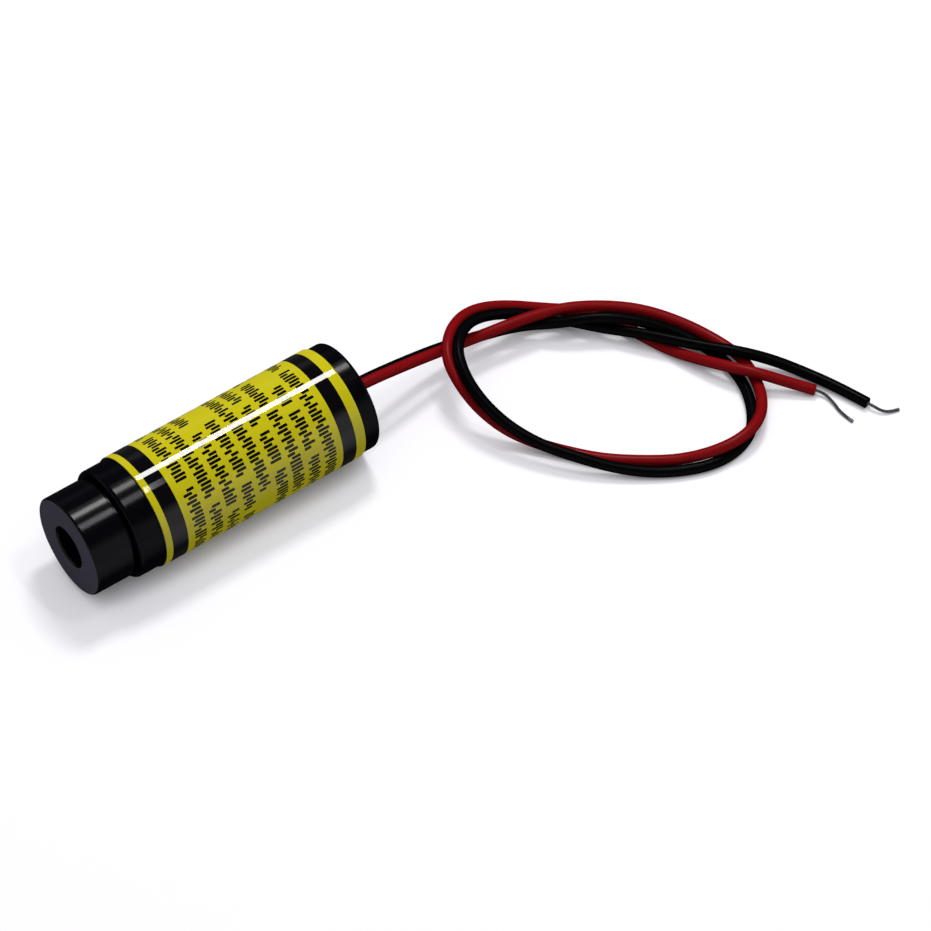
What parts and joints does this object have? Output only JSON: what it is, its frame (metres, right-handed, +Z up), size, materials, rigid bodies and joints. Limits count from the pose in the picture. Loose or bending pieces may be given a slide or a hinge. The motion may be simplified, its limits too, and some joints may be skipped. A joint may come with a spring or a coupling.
{
  "type": "laser diode module",
  "caption": "Slim round laser diode module with a stepped nose, a small beam opening, a clear-sleeved printed label and two loose lead wires.",
  "frame": {"origin": "on the floor under the middle of the module's barrel, which lies on its side", "axes": "+X along the barrel and out of the beam opening, +Z up, +Y to the side where the wires' loop lies"},
  "size_m": [0.0819, 0.0371, 0.0124],
  "materials": {
    "black_shell": "smooth turned black plastic, semi-gloss",
    "black_plug": "black moulded plastic, matt",
    "label_film": "yellow printed film",
    "label_ink": "black ink on film",
    "clear_film": "clear shrunk film, high gloss",
    "brass_parts": "turned brass, bare",
    "clear_glass": "polished, coated",
    "seal_glass": "fused green-grey glass",
    "spring_steel": "drawn spring wire",
    "plated_steel": "thin gold plating",
    "chip_gold": "gold-faced semiconductor",
    "board_green": "glass-fibre board with green mask",
    "tinned_metal": "tinned, bright",
    "ceramic_tan": "fired ceramic",
    "red_insulation": "soft wire insulation, red, slight sheen",
    "black_insulation": "soft wire insulation, black, slight sheen"
  },
  "bodies": {
    "root": {"housing": "black_shell", "front_cap": "black_shell", "rear_plug": "black_plug", "label": "label_film", "label_print": "label_ink", "clear_sleeve": "clear_film", "diode_holder": "brass_parts", "lens_cell": "brass_parts", "lens_retainer": "brass_parts", "collimating_lens": "clear_glass", "focus_spring": "spring_steel", "diode_base": "plated_steel", "diode_can": "plated_steel", "diode_window": "clear_glass", "diode_leads": "plated_steel", "lead_seals": "seal_glass", "laser_chip": "chip_gold", "driver_board": "board_green", "driver_chip": "black_plug", "chip_legs": "tinned_metal", "capacitors": "ceramic_tan", "resistors": "black_plug", "power_trimmer": "ceramic_tan", "trimmer_rotor": "brass_parts", "solder_joints": "tinned_metal", "red_board_end": "tinned_metal", "black_board_end": "tinned_metal", "red_wire": "red_insulation", "black_wire": "black_insulation", "red_bare_end": "tinned_metal", "black_bare_end": "tinned_metal"}
  },
  "joints": []
}
